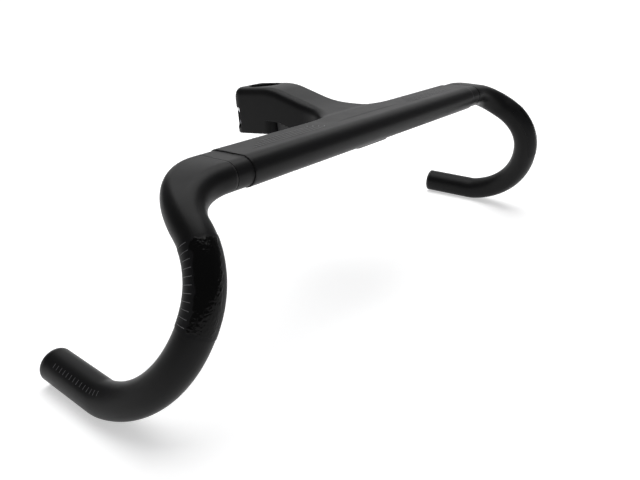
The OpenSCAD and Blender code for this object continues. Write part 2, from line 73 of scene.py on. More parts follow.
# %% Make a mesh piece
def make_piece(name, points, faces, sharp=35, outward=True):
    mesh = bpy.data.meshes.new(name)
    places = (np.asarray(points, float) + bar_middle) * MM
    mesh.from_pydata(places.tolist(), [], [tuple(int(i) for i in face) for face in faces])
    mesh.validate()
    if outward:
        sheet = bmesh.new()
        sheet.from_mesh(mesh)
        bmesh.ops.recalc_face_normals(sheet, faces=sheet.faces)
        sheet.to_mesh(mesh)
        sheet.free()
    mesh.polygons.foreach_set("use_smooth", [True] * len(mesh.polygons))
    mesh.set_sharp_from_angle(angle=math.radians(sharp))
    piece = bpy.data.objects.new(name, mesh)
    bpy.context.scene.collection.objects.link(piece)
    return piece


# %% Rings of points joined into a skin
def skin_faces(ring_count, around, closed=True):
    faces = []
    for k in range(ring_count - 1):
        for i in range(around if closed else around - 1):
            n = (i + 1) % around
            faces.append((k * around + i, k * around + n, (k + 1) * around + n, (k + 1) * around + i))
    return faces


# %% Four-by-four moves
def shifted(x, y, z):
    move = np.eye(4)
    move[:3, 3] = (x, y, z)
    return move


def turned(degrees, axis):
    return np.array(Matrix.Rotation(math.radians(degrees), 4, axis))


def bent(radius, degrees):
    a = math.radians(degrees)
    return shifted(radius * (1 - math.cos(a)), 0, radius * math.sin(a)) @ turned(degrees, "Y")


def placed(move, points):
    points = np.asarray(points, float)
    return points @ move[:3, :3].T + move[:3, 3]


# %% [markdown]
# ## Node trees written as plain Python
# A material is a graph of nodes. Written out one link at a time it is hard to read, so a small
# class wraps a socket and lets an expression such as `1 - mask * 0.4` add the Math nodes itself.
# Every other node comes from one method, which takes its type, its settings and its inputs.

# %% The socket class
class Flow:
    def __init__(self, tree, socket):
        self.tree = tree
        self.socket = socket

    def maths(self, operation, other):
        return self.tree.node("ShaderNodeMath", {"operation": operation}, {0: self, 1: other})

    def __add__(self, other):
        return self.maths("ADD", other)

    def __radd__(self, other):
        return self.maths("ADD", other)

    def __mul__(self, other):
        return self.maths("MULTIPLY", other)

    def __rmul__(self, other):
        return self.maths("MULTIPLY", other)

    def __sub__(self, other):
        return self.maths("SUBTRACT", other)

    def __rsub__(self, other):
        return self.tree.node(
            "ShaderNodeMath", {"operation": "SUBTRACT"}, {0: other, 1: self})


# %% The tree class
class Tree:
    def __init__(self, tree):
        self.tree = tree

    def node(self, kind, settings=None, inputs=None, out=0):
        made = self.tree.nodes.new(kind)
        for name, value in (settings or {}).items():
            setattr(made, name, value)
        for key, value in (inputs or {}).items():
            socket = made.inputs[key]
            if isinstance(value, Flow):
                self.tree.links.new(value.socket, socket)
            else:
                socket.default_value = value
        return Flow(self, made.outputs[out]) if len(made.outputs) else made


# %% A fresh material
def start_material(name):
    material = bpy.data.materials.new(name)
    material.use_nodes = True
    material.node_tree.nodes.clear()
    return material, Tree(material.node_tree)


def finish_material(tree, shader):
    tree.node("ShaderNodeOutputMaterial", {}, {"Surface": shader})


def mixed_colour(tree, share, first, second):
    return tree.node(
        "ShaderNodeMix", {"data_type": "RGBA"}, {0: share, 6: (*first, 1), 7: (*second, 1)}, out=2)


# %% Noise at a size in millimetres
def grain(tree, size, detail=3, rough=0.5, stretch=(1, 1, 1)):
    place = tree.node("ShaderNodeTexCoord", out=3)
    scaled = tree.node("ShaderNodeMapping", {}, {"Vector": place, "Scale": stretch})
    return tree.node("ShaderNodeTexNoise", {}, {
        "Vector": scaled, "Scale": 1 / (size * MM), "Detail": detail, "Roughness": rough})


def bumped(tree, height, strength, depth):
    return tree.node("ShaderNodeBump", {}, {
        "Strength": strength, "Distance": depth * MM, "Height": height})


# %% [markdown]
# ## The painted carbon
# The moulding is sprayed a soft black. Such paint is never a flat colour: it has a faint cloudiness,
# a very fine orange peel, and the odd place that hands have polished a little. Cloudiness and polish
# go to colour and roughness, and the peel to a weak bump.

# %% Satin black paint
def satin_paint(name, dark, light, rough):
    material, tree = start_material(name)
    clouds = grain(tree, 40, detail=4)
    peel = grain(tree, 0.9, detail=2)
    rubbed = grain(tree, 14, detail=5, rough=0.65)
    shader = tree.node("ShaderNodeBsdfPrincipled", {}, {
        "Base Color": mixed_colour(tree, clouds, dark, light),
        "Roughness": rough - 0.05 + 0.1 * rubbed,
        "Normal": bumped(tree, peel, 0.12, 0.05),
        "Specular IOR Level": 0.13,
    })
    finish_material(tree, shader)
    return material


shell_paint = satin_paint("shell_paint", (0.0030, 0.0030, 0.0032), (0.0055, 0.0055, 0.0058), 0.38)
drop_paint = satin_paint("drop_paint", (0.0026, 0.0026, 0.0028), (0.0050, 0.0050, 0.0053), 0.40)
print("paints", shell_paint.name, drop_paint.name)

# %% [markdown]
# ## The grip film
# A film is pressed into the bar where the brake lever clamps. Its middle has a crumpled, glossy
# relief that grips, and its two sides are plain satin. The relief itself is in the mesh, which also
# keeps one number per point that says how much relief is there. The material follows that number.

# %% Glossy crumpled film
def grip_film():
    material, tree = start_material("grip_film")
    relief = tree.node("ShaderNodeAttribute", {"attribute_name": "relief"}, out=2)
    crumbs = grain(tree, 0.7, detail=4, rough=0.6)
    shader = tree.node("ShaderNodeBsdfPrincipled", {}, {
        "Base Color": mixed_colour(tree, relief, (0.004, 0.004, 0.0045), (0.0015, 0.0015, 0.0015)),
        "Roughness": 0.46 - 0.36 * relief + 0.05 * crumbs,
        "Normal": bumped(tree, crumbs * relief, 0.5, 0.12),
        "Specular IOR Level": 0.12,
    })
    finish_material(tree, shader)
    return material


film_finish = grip_film()

# %% [markdown]
# ## The small parts' finishes
# Moulded plastic has a fine spark-eroded grain. Turned metal has rings about its axis, drawn steel
# has fine streaks, and black oxide is soft and slightly brown where tools have touched it.

# %% Moulded plastic, rubber and marks
def moulded(name, dark, light, rough, grain_size=0.35, strength=0.25):
    material, tree = start_material(name)
    fine = grain(tree, grain_size, detail=3)
    broad = grain(tree, 9, detail=3)
    shader = tree.node("ShaderNodeBsdfPrincipled", {}, {
        "Base Color": mixed_colour(tree, broad, dark, light),
        "Roughness": rough - 0.06 + 0.12 * fine,
        "Normal": bumped(tree, fine, strength, 0.04),
    })
    finish_material(tree, shader)
    return material


cover_plastic = moulded("cover_plastic", (0.008, 0.008, 0.009), (0.014, 0.014, 0.015), 0.55)
plug_plastic = moulded("plug_plastic", (0.010, 0.010, 0.011), (0.018, 0.018, 0.019), 0.48)
expander_rubber = moulded("expander_rubber", (0.022, 0.022, 0.024), (0.035, 0.035, 0.037), 0.7, 0.6)
stripe_paint = moulded("stripe_paint", (0.020, 0.020, 0.022), (0.030, 0.030, 0.032), 0.36, 0.2, 0.1)
mark_paint = moulded("mark_paint", (0.060, 0.060, 0.064), (0.085, 0.085, 0.090), 0.42, 0.2, 0.1)


# %% Metals
def metal(name, dark, light, rough, streak=(1, 1, 1), metallic=1.0):
    material, tree = start_material(name)
    lines = grain(tree, 0.5, detail=4, stretch=streak)
    broad = grain(tree, 5, detail=3)
    shader = tree.node("ShaderNodeBsdfPrincipled", {}, {
        "Base Color": mixed_colour(tree, broad, dark, light),
        "Roughness": rough - 0.06 + 0.12 * lines,
        "Metallic": metallic,
        "Normal": bumped(tree, lines, 0.15, 0.02),
    })
    finish_material(tree, shader)
    return material


bright_steel = metal("bright_steel", (0.60, 0.60, 0.61), (0.72, 0.72, 0.73), 0.24, (8, 1, 1))
dull_steel = metal("dull_steel", (0.30, 0.30, 0.32), (0.40, 0.40, 0.42), 0.38, (8, 1, 1))
black_oxide = metal("black_oxide", (0.030, 0.028, 0.027), (0.050, 0.048, 0.046), 0.42, metallic=0.7)
turned_brass = metal("turned_brass", (0.62, 0.44, 0.18), (0.72, 0.54, 0.25), 0.30, (1, 1, 8))
turned_alloy = metal("turned_alloy", (0.62, 0.63, 0.65), (0.75, 0.76, 0.78), 0.32, (1, 8, 1))
print("finishes", len(bpy.data.materials))


# %% Bare woven carbon for the hidden sleeves
def woven_carbon():
    material, tree = start_material("woven_carbon")
    place = tree.node("ShaderNodeTexCoord", out=3)
    weave = tree.node("ShaderNodeTexChecker", {}, {"Vector": place, "Scale": 500.0}, out=1)
    threads = grain(tree, 0.3, detail=2, stretch=(10, 1, 1))
    shader = tree.node("ShaderNodeBsdfPrincipled", {}, {
        "Base Color": mixed_colour(tree, weave, (0.012, 0.012, 0.013), (0.035, 0.035, 0.038)),
        "Roughness": 0.28 + 0.15 * weave,
        "Normal": bumped(tree, threads, 0.2, 0.03),
    })
    finish_material(tree, shader)
    return material


sleeve_carbon = woven_carbon()

# %% [markdown]
# ## The bar and stem shell
# The real shell is one moulding: a wing-shaped bar that swells into a stem, with no seam between
# them. Joining blocks with a Boolean would leave hard creases there. A distance field says for any
# point how far it is from the surface, so two shapes can be melted together with a soft minimum,
# and the zero level of the field is then the smooth skin of the moulding.

# %% Soft joins of distances
def soft_union(a, b, blend):
    near = np.maximum(blend - np.abs(a - b), 0) / blend
    return np.minimum(a, b) - near * near * blend / 4


def soft_overlap(a, b, blend):
    return -soft_union(-a, -b, blend)


# %% The wing's section
NOSE = (-11.5, -0.467, 11.0)
TAIL = (12.0, 2.333, 7.5)
WING_HALF = 163.0
BAR_END = 178.0
STEP = 0.8


def wing_field(y, z):
    along = np.array([TAIL[0] - NOSE[0], TAIL[1] - NOSE[1]])
    length = np.hypot(*along)
    along = along / length
    slope = (NOSE[2] - TAIL[2]) / length
    rise = math.sqrt(1 - slope * slope)
    far = (y - NOSE[0]) * along[0] + (z - NOSE[1]) * along[1]
    off = np.abs((z - NOSE[1]) * along[0] - (y - NOSE[0]) * along[1])
    turn = far * rise - off * slope
    side = off * rise + far * slope - NOSE[2]
    side = np.where(turn < 0, np.hypot(off, far) - NOSE[2], side)
    return np.where(turn > rise * length, np.hypot(off, far - length) - TAIL[2], side)


def bar_field(x, y, z):
    section = wing_field(y, z)
    thick = np.maximum(section, np.abs(x) - WING_HALF)
    thin = np.maximum(section + STEP, np.abs(x) - BAR_END)
    return np.minimum(thick, thin)


# %% The neck between the bar and the clamp
STEM_LENGTH = 110.5
STEM_RISE = 19.4
LEAN = math.radians(7)
NECK_HALF = 21.0
NECK_BLEND = 35.0
NECK_FOOT = 16.0
NECK_UNDERSIDE = -5.2
ARCH_RADIUS = 61.4
ARCH_MIDDLE = (84.0, -68.2)
ARCH_FROM, ARCH_TO = 35.0, 112.0
neck_run = np.array([-20.0, 0, 30, 48, 88, 110, 150])
neck_top = np.array([8.3, 8.5, 10.6, 12.6, 22.1, 19.5, 14.6])


def neck_height(y):
    return sum(np.interp(y + step, neck_run, neck_top) for step in (-8, -5, -2, 2, 5, 8)) / 6


def neck_plan(x, y):
    side = np.abs(x)
    middle_x = NECK_HALF + NECK_BLEND
    middle_y = NECK_FOOT + NECK_BLEND
    fillet = NECK_BLEND - np.hypot(side - middle_x, y - middle_y)
    outer = np.maximum(np.where(side > middle_x, y - NECK_FOOT, fillet), side - middle_x)
    return np.where(y > middle_y, side - NECK_HALF, outer)


def neck_field(x, y, z):
    spread = np.maximum(neck_plan(x, y), NECK_UNDERSIDE - z)
    middle = np.maximum(np.abs(x) - NECK_HALF, -PAD_DEPTH - z)
    thin = np.clip((np.abs(x) - 22) / 34, 0, 1) ** 2 * 2.5
    body = soft_overlap(np.minimum(spread, middle), z - neck_height(y) + thin, 8)
    ends = np.maximum(-y, y - 100)
    arch = ARCH_RADIUS - np.hypot(y - ARCH_MIDDLE[0], z - ARCH_MIDDLE[1])
    arch = np.where((y > ARCH_FROM) & (y < ARCH_TO), arch, -60.0)
    return np.maximum(np.maximum(body, ends), arch)


# %% The clamp block and the pad
CROWN = 11.0
CLAMP_HEIGHT = 41.0
CLAMP_FRONT, CLAMP_BACK = -22.5, 26.0
CLAMP_ROUNDS = (9.0, 13.0)
PAD_HALF = 25.0
PAD_FRONT, PAD_BACK = -9.0, 31.0


def rounded_block(across, along, half, start, end, start_round, end_round):
    middle = (start + end) / 2
    rounding = np.where(along > middle, end_round, start_round)
    a = np.abs(across) - half + rounding
    b = np.abs(along - middle) - (end - start) / 2 + rounding
    inside = np.minimum(np.maximum(a, b), 0)
    return inside + np.hypot(np.maximum(a, 0), np.maximum(b, 0)) - rounding


def clamp_field(x, y, z):
    back = (y - STEM_LENGTH) * math.cos(LEAN) - (z - STEM_RISE) * math.sin(LEAN)
    up = (y - STEM_LENGTH) * math.sin(LEAN) + (z - STEM_RISE) * math.cos(LEAN)
    plan = rounded_block(x, back, NECK_HALF, CLAMP_FRONT, CLAMP_BACK, *CLAMP_ROUNDS)
    crown = np.hypot(np.maximum(back - CLAMP_BACK + CROWN, 0), np.maximum(up + CROWN, 0)) - CROWN
    return soft_overlap(soft_overlap(plan, crown, 8), -CLAMP_HEIGHT - up, 1.5)


def pad_field(x, y, z):
    plan = rounded_block(x, y, PAD_HALF, PAD_FRONT, PAD_BACK, 6.0, 6.0)
    return soft_overlap(plan, np.maximum(-PAD_DEPTH - z, z), 3)


def shell_field(x, y, z):
    stem = np.minimum(neck_field(x, y, z), clamp_field(x, y, z))
    whole = soft_union(bar_field(x, y, z), stem, 4)
    return soft_union(whole, pad_field(x, y, z), 3)


# %% [markdown]
# The field becomes a mesh by a surface net: every cell of a grid that the surface passes through
# gets one point, and every grid edge that crosses the surface gets one face between the four cells
# round it. The points then slide along the field's slope until they lie exactly on the surface. The
# grid is fine across the stem, and long in the plain wing, with close planes at the step.

# %% A surface net
def cell_points(value, axes):
    counts = np.zeros(tuple(len(a) - 1 for a in axes))
    total = np.zeros(counts.shape + (3,))
    inside = value < 0
    for axis in range(3):
        low = [slice(None)] * 3
        high = [slice(None)] * 3
        low[axis] = slice(0, -1)
        high[axis] = slice(1, None)
        a, b = value[tuple(low)], value[tuple(high)]
        cross = inside[tuple(low)] != inside[tuple(high)]
        share = np.where(cross, a / np.where(cross, a - b, 1), 0)
        spots = np.stack(np.meshgrid(*[
            s[:-1] if i == axis else s for i, s in enumerate(axes)], indexing="ij"), -1)
        gap = np.diff(axes[axis]).reshape([-1 if i == axis else 1 for i in range(3)])
        spots[..., axis] += share * gap
        others = [i for i in range(3) if i != axis]
        for first in (0, 1):
            for second in (0, 1):
                cut = [slice(None)] * 3
                cut[others[0]] = slice(first, -1 if first == 0 else None)
                cut[others[1]] = slice(second, -1 if second == 0 else None)
                hit = cross[tuple(cut)]
                counts += hit
                total += spots[tuple(cut)] * hit[..., None]
    return counts, total


def net_faces(value, number):
    inside = value < 0
    faces = []
    for axis in range(3):
        u, v = (axis + 1) % 3, (axis + 2) % 3
        rolled_in = np.moveaxis(inside, (axis, u, v), (0, 1, 2))
        rolled_no = np.moveaxis(number, (axis, u, v), (0, 1, 2))
        cross = rolled_in[:-1, 1:-1, 1:-1] != rolled_in[1:, 1:-1, 1:-1]
        i, j, k = np.nonzero(cross)
        quad = np.stack([
            rolled_no[i, j, k], rolled_no[i, j + 1, k],
            rolled_no[i, j + 1, k + 1], rolled_no[i, j, k + 1]], 1)
        leaving = rolled_in[i, j + 1, k + 1]
        quad[~leaving] = quad[~leaving][:, ::-1]
        faces.append(quad)
    return np.concatenate(faces)


def surface_net(field, axes):
    value = field(*np.meshgrid(*axes, indexing="ij"))
    counts, total = cell_points(value, axes)
    used = counts > 0
    number = np.full(counts.shape, -1)
    number[used] = np.arange(used.sum())
    points = total[used] / counts[used][:, None]
    for _ in range(3):
        here = field(*points.T)
        slope = np.stack([
            (field(*(points + step).T) - here) / 0.02 for step in np.eye(3) * 0.02], 1)
        size = np.maximum((slope * slope).sum(1, keepdims=True), 0.2)
        points -= np.clip(here[:, None] * slope / size, -0.3, 0.3)
    return points, net_faces(value, number)


# %% Run the net over the shell
CELL = 0.85
half_x = np.concatenate([
    np.arange(CELL / 2, 66, CELL),
    np.arange(69, 161, 3.5),
    [162.0, 162.85, 162.99, 163.05, 163.3],
    np.arange(166, 177, 3.5),
    [177.6, 177.95, 178.05, 179, 180]])
axes = [
    np.concatenate([-half_x[::-1], half_x]),
    np.arange(-24, 140, CELL),
    np.arange(-28, 26, CELL)]
shell_points, shell_quads = surface_net(shell_field, axes)
cockpit_shell = make_piece("cockpit_skin", shell_points, shell_quads, outward=False)
print("shell", len(shell_points), "points", len(shell_quads), "faces")

# %% [markdown]
# Holes come after the skin, as a drill would make them: the steerer's bore with a small chamfer, the
# pinch slit, the bolts' counterbores, the slots they stand in, and the holes for inserts and screws.
# Each cutter is a closed form, taken away with a Boolean modifier that is applied at once.

# %% The steerer's own frame
steerer = shifted(0, STEM_LENGTH, STEM_RISE) @ turned(-7, "X")


def round_cutter(name, move, profile, around=72):
    rings = []
    for radius, height in profile:
        angles = np.linspace(0, 2 * math.pi, around, endpoint=False)
        rings.append(np.stack(
            [radius * np.cos(angles), radius * np.sin(angles), np.full(around, height)], 1))
    points = placed(move, np.concatenate(rings))
    last = (len(rings) - 1) * around
    faces = skin_faces(len(rings), around)
    faces += [tuple(range(around)), tuple(last + i for i in range(around))]
    return make_piece(name, points, faces)


def slot_cutter(name, move, centres, radius, low, high, around=24):
    angles = np.linspace(-math.pi / 2, math.pi / 2, around)
    first = [(centres[0] + radius * math.cos(a), radius * math.sin(a)) for a in angles]
    second = [(centres[1] - radius * math.cos(a), -radius * math.sin(a)) for a in angles]
    outline = np.array(first + second)
    rings = [np.column_stack([outline, np.full(len(outline), h)]) for h in (low, high)]
    count = len(outline)
    faces = skin_faces(2, count) + [tuple(range(count)), tuple(range(count, 2 * count))]
    return make_piece(name, placed(move, np.concatenate(rings)), faces)


def box_cutter(name, move, low, high):
    points = [
        (x, y, z)
        for x in (low[0], high[0])
        for y in (low[1], high[1])
        for z in (low[2], high[2])]
    faces = [(0, 1, 3, 2), (4, 6, 7, 5), (0, 4, 5, 1), (2, 3, 7, 6), (0, 2, 6, 4), (1, 5, 7, 3)]
    return make_piece(name, placed(move, points), faces)


def cut(piece, cutter):
    modifier = piece.modifiers.new("cut", "BOOLEAN")
    modifier.operation = "DIFFERENCE"
    modifier.solver = "MANIFOLD"
    modifier.object = cutter
    settled = bpy.data.meshes.new_from_object(
        piece.evaluated_get(bpy.context.evaluated_depsgraph_get()))
    piece.modifiers.remove(modifier)
    old = piece.data
    piece.data = settled
    bpy.data.meshes.remove(old)
    bpy.data.objects.remove(cutter)


# %% Drill the shell
STEERER_RADIUS = 14.3
CHAMFER = 1.1
SLIT_HALF = 1
BOLT_LINE = 18.8
BOLT_DEPTHS = (20.2, 32.4)
HEAD_SEAT = 4.1
SHANK_HOLE = 2.75
NUT_HOLE = 4.0
POCKET_FLOOR = 15.2
INSERT_PLACES = (-14, 14)
chamfered = STEERER_RADIUS + CHAMFER
bore = [(STEERER_RADIUS, -50), (STEERER_RADIUS, -0.7), (chamfered, 0.4), (chamfered, 14)]
cut(cockpit_shell, round_cutter("bore", steerer, bore, 96))
cut(cockpit_shell, box_cutter("slit", steerer, (-SLIT_HALF, 0, -60), (SLIT_HALF, 40, 20)))
for side, depth in ((-1, BOLT_DEPTHS[0]), (1, BOLT_DEPTHS[1])):
    across = steerer @ shifted(0, BOLT_LINE, -depth) @ turned(90 * side, "Y")
    seat = [(HEAD_SEAT, 8.5), (HEAD_SEAT, 40)]
    cut(cockpit_shell, round_cutter("seat", across, seat))
    shank = [(SHANK_HOLE, -30), (SHANK_HOLE, 30)]
    cut(cockpit_shell, round_cutter("shank", across, shank, 40))
    nut_hole = [(NUT_HOLE, -40), (NUT_HOLE, -5)]
    cut(cockpit_shell, round_cutter("nut_hole", across, nut_hole, 40))
for side in (-1, 1):
    pocket = steerer @ shifted(0, BOLT_LINE, 0) @ turned(90 * side, "Y")
    ends = sorted((BOLT_DEPTHS[0] * side, BOLT_DEPTHS[1] * side), reverse=True)
    cut(cockpit_shell, slot_cutter("pocket", pocket, ends, HEAD_SEAT, POCKET_FLOOR, 40))
for x in INSERT_PLACES:
    hole = shifted(x, 0, -PAD_DEPTH)
    cut(cockpit_shell, round_cutter("insert_hole", hole, [(3, -3), (3, 6)], 40))
bpy.context.view_layer.update()
cockpit_shell.data.polygons.foreach_set("use_smooth", [True] * len(cockpit_shell.data.polygons))
cockpit_shell.data.set_sharp_from_angle(angle=math.radians(35))
print("drilled shell", len(cockpit_shell.data.polygons), "faces")

# %% [markdown]
# ## The drops
# Each drop leaves the wing, turns forwards and down, and becomes a round 24 mm tube. Its surface is
# a sweep: rings of points set along a chain of bends. In the corner each ring is a mix of the wing's
# section and a circle, eased at both ends, so that the two forms meet with no crease.

# %% The wing's outline in walking order
def wing_outline(inset):
    direction = math.atan2(TAIL[1] - NOSE[1], TAIL[0] - NOSE[0])
    gap = math.hypot(TAIL[0] - NOSE[0], TAIL[1] - NOSE[1])
    half = math.acos((NOSE[2] - TAIL[2]) / gap)
    tail_turn = np.linspace(direction - half, direction + half, 31)
    nose_turn = np.linspace(direction + half, direction + 2 * math.pi - half, 39)
    tail_ring = np.stack([np.cos(tail_turn), np.sin(tail_turn)], 1)
    nose_ring = np.stack([np.cos(nose_turn), np.sin(nose_turn)], 1)
    tail = np.array(TAIL[:2]) + (TAIL[2] - inset) * tail_ring
    nose = np.array(NOSE[:2]) + (NOSE[2] - inset) * nose_ring
    flats = np.linspace(0, 1, 14)[1:-1, None]
    outline = np.concatenate([
        tail, tail[-1] + flats * (nose[0] - tail[-1]), nose, nose[-1] + flats * (tail[0] - nose[-1])])
    share = np.concatenate([
        np.linspace(0, 16, 31), 16 + flats[:, 0], np.linspace(17, 33, 39), 33 + flats[:, 0]]) / 34
    return outline, direction - half + share * 2 * math.pi


# %% The chain of bends
CORNER_DIP = 30
CORNER = (46.0, 75.0)
BENDS = ((50.0, 60.0), (78.0, 75.0), (30.0, 14.0))
END_STRAIGHT = 50.0
HOOK_ROLL = -107
TUBE = 12.0
BORE = 10.0
dip = math.radians(CORNER_DIP)
corner = shifted(-182, 0, 0) @ np.array([
    [0, 0, -1, 0], [-math.cos(dip), -math.sin(dip), 0, 0],
    [-math.sin(dip), math.cos(dip), 0, 0], [0, 0, 0, 1]])
hook = corner @ bent(*CORNER) @ turned(HOOK_ROLL, "Z")


def along_drop(distance):
    """The place on the round tube at a distance from the corner's end, turned with the hook."""
    place = hook
    for radius, angle in BENDS:
        run = radius * math.radians(angle)
        if distance <= run:
            return place @ bent(radius, math.degrees(distance / radius))
        place = place @ bent(radius, angle)
        distance -= run
    return place @ shifted(0, 0, distance)


drop_run = sum(radius * math.radians(angle) for radius, angle in BENDS) + END_STRAIGHT
print("round part of a drop, mm", round(drop_run, 1))

# %% Rings of a drop, from the wing to the end and back inside
def corner_ring(place, share, inset=0.0):
    outline, angles = wing_outline(STEP)
    outline = outline * (1 - share) + share * TUBE * np.stack([np.cos(angles), np.sin(angles)], 1)
    shrink = outline - outline.mean(0)
    outline = outline - inset * shrink / np.linalg.norm(shrink, axis=1, keepdims=True)
    y, z = outline.T
    across = -math.cos(dip) * y - math.sin(dip) * z
    up = -math.sin(dip) * y + math.cos(dip) * z
    return placed(place, np.stack([across, up, np.zeros(len(y))], 1))


def tube_ring(place, radius):
    angles = wing_outline(STEP)[1]
    y, z = np.cos(angles), np.sin(angles)
    across = -math.cos(dip) * y - math.sin(dip) * z
    up = -math.sin(dip) * y + math.cos(dip) * z
    flat = np.stack([across, up, np.zeros(len(y))], 1) * radius
    return placed(place @ turned(-HOOK_ROLL, "Z"), flat)


def drop_rings():
    rings = [corner_ring(corner @ shifted(0, 0, -4), 0, 0.35)]
    rings += [corner_ring(corner @ shifted(0, 0, z), 0) for z in (-3.65, -2)]
    for step in np.linspace(0, 1, 45):
        share = step * step * (3 - 2 * step)
        rings.append(corner_ring(corner @ bent(CORNER[0], CORNER[1] * step), share))
    stations = np.linspace(0, drop_run, 150)[1:]
    rings += [tube_ring(along_drop(d), TUBE) for d in stations[:-1]]
    rim = ((0.3, TUBE), (0.08, TUBE - 0.1), (0, TUBE - 0.35), (0, BORE + 0.3), (0.3, BORE))
    rings += [tube_ring(along_drop(drop_run - back), radius) for back, radius in rim]
    rings += [tube_ring(along_drop(d), BORE) for d in stations[-2::-3]]
    return rings


# %% Make both drops
def make_drop(name, mirror):
    rings = drop_rings()
    around = len(rings[0])
    points = np.concatenate(rings) * (mirror, 1, 1)
    last = (len(rings) - 1) * around
    faces = skin_faces(len(rings), around)
    faces += [tuple(range(around)), tuple(last + i for i in range(around))]
    return make_piece(name, points, faces, sharp=50)


drop_right = make_drop("drop_tube_right", 1)
drop_left = make_drop("drop_tube_left", -1)
print("drop", len(drop_right.data.polygons), "faces")

# %% [markdown]
# ## The grip films
# The film wraps about 200 degrees of the upper curve. Its crumpled middle is real relief: ridges of
# a cell pattern, a few tenths of a millimetre high, that fade out along a ragged border. Doing this
# in the mesh, and not only in a bump, makes its highlights break up as they do on real crumpled film.
# The warp of the cells takes its offset from a seed, which is fixed so that each run is the same.

# %% Relief of the film
FILM_START = 9.7
FILM_LENGTH = 51.0
FILM_RISE = 0.35
FILM_WRAP = 200
FILM_CENTRE = 225
CRUMPLE_SEED = 5
noise.seed_set(CRUMPLE_SEED)


def film_relief(across, run):
    spot = Vector((across * 0.2155, run, 3.0))
    border = 42 + 9 * noise.noise(spot * 0.25)
    edge = min(1, max(0, (border - abs(across + 15)) / 5))
    reach = 1.6 + 1.4 * noise.noise(spot * 0.4 + Vector((9, 0, 0)))
    ends = min(1, max(0, min(run - reach, FILM_LENGTH - reach - run) / 0.8))
    cells = noise.voronoi(spot * 0.5 + 0.6 * Vector(noise.noise_vector(spot * 0.45)))[0]
    ridge = min(1, (cells[1] - cells[0]) * 1.6)
    return edge * ends, edge * ends * (0.42 * ridge + 0.14 * noise.noise(spot * 1.3))


# %% Make both films
def make_film(name, mirror):
    across = np.linspace(-FILM_WRAP / 2, FILM_WRAP / 2, 109)
    runs = np.linspace(0, FILM_LENGTH, 128)
    outer, inner, relief = [], [], []
    for run in runs:
        place = along_drop(FILM_START + run)
        for a in across:
            share, height = film_relief(a, run)
            relief.append(share)
            turn = math.radians(FILM_CENTRE + a)
            way = np.array([math.cos(turn), math.sin(turn), 0])
            outer.append(placed(place, way * (TUBE + FILM_RISE * 0.75 + height * 0.5)))
            inner.append(placed(place, way * (TUBE - 0.05)))
    count, rows = len(across), len(runs)
    size = count * rows
    faces = skin_faces(rows, count, closed=False)
    faces += [tuple(size + i for i in face[::-1]) for face in faces]
    rim = list(range(count)) + [k * count + count - 1 for k in range(1, rows)]
    rim += [size - 1 - i for i in range(1, count)] + [k * count for k in range(rows - 2, 0, -1)]
    for i, a in enumerate(rim):
        b = rim[(i + 1) % len(rim)]
        faces.append((a, b, size + b, size + a))
    points = np.array(outer + inner) * (mirror, 1, 1)
    piece = make_piece(name, points, faces, sharp=60)
    mask = piece.data.attributes.new("relief", "FLOAT", "POINT")
    mask.data.foreach_set("value", relief + [0.0] * size)
    return piece


film_right = make_film("grip_film_right", 1)
film_left = make_film("grip_film_left", -1)
print("film", len(film_right.data.polygons), "faces")

# %% [markdown]
# ## Marks that repeat along the tube
# Beside the relief runs a scale of fine lines for setting the lever's height, and the lower part
# of each drop has a plain row of ticks. Each line is a short arc on the tube, and the same arc comes
# back at even steps along a path. That is work for Geometry Nodes: the path is resampled to a count,
# and one arc is set on every point, turned with the tube.

# %% A tree that sets arcs along a tube
def arc_tree():
    group = bpy.data.node_groups.new("arcs_along_tube", "GeometryNodeTree")
    group.interface.new_socket("Geometry", in_out="INPUT", socket_type="NodeSocketGeometry")
    named = (("Count", "NodeSocketInt"), ("Radius", "NodeSocketFloat"), ("Start", "NodeSocketFloat"),
             ("Sweep", "NodeSocketFloat"), ("Width", "NodeSocketFloat"), ("Height", "NodeSocketFloat"),
             ("Finish", "NodeSocketMaterial"))
    for name, kind in named:
        group.interface.new_socket(name, in_out="INPUT", socket_type=kind)
    group.interface.new_socket("Geometry", in_out="OUTPUT", socket_type="NodeSocketGeometry")
    tree = Tree(group)
    given = group.nodes.new("NodeGroupInput")
    take = {socket.name: Flow(tree, socket) for socket in given.outputs if socket.name}
    path = tree.node("GeometryNodeMeshToCurve", {}, {0: take["Geometry"]})
    spots = tree.node("GeometryNodeResampleCurve", {}, {"Curve": path, "Count": take["Count"]})
    arc = tree.node("GeometryNodeCurveArc", {"mode": "RADIUS"}, {
        "Resolution": 9, "Radius": take["Radius"],
        "Start Angle": take["Start"], "Sweep Angle": take["Sweep"]})
    strip = tree.node("GeometryNodeCurvePrimitiveQuadrilateral", {"mode": "RECTANGLE"}, {
        0: take["Height"], 1: take["Width"]})
    line = tree.node("GeometryNodeCurveToMesh", {}, {
        "Curve": arc, "Profile Curve": strip, "Fill Caps": True})
    tangent = tree.node("GeometryNodeInputTangent")
    inside = tree.node("GeometryNodeInputNamedAttribute", {"data_type": "FLOAT_VECTOR"}, {
        "Name": "inside"})
    turn = tree.node("FunctionNodeAxesToRotation", {"primary_axis": "Z", "secondary_axis": "X"}, {
        0: tangent, 1: inside})
    marks = tree.node("GeometryNodeInstanceOnPoints", {}, {
        "Points": spots, "Instance": line, "Rotation": turn})
    real = tree.node("GeometryNodeRealizeInstances", {}, {0: marks})
    done = tree.node("GeometryNodeSetMaterial", {}, {"Geometry": real, "Material": take["Finish"]})
    tree.node("NodeGroupOutput", {}, {"Geometry": done})
    return group


arcs_along_tube = arc_tree()
print("tree", arcs_along_tube.name, len(arcs_along_tube.nodes), "nodes")


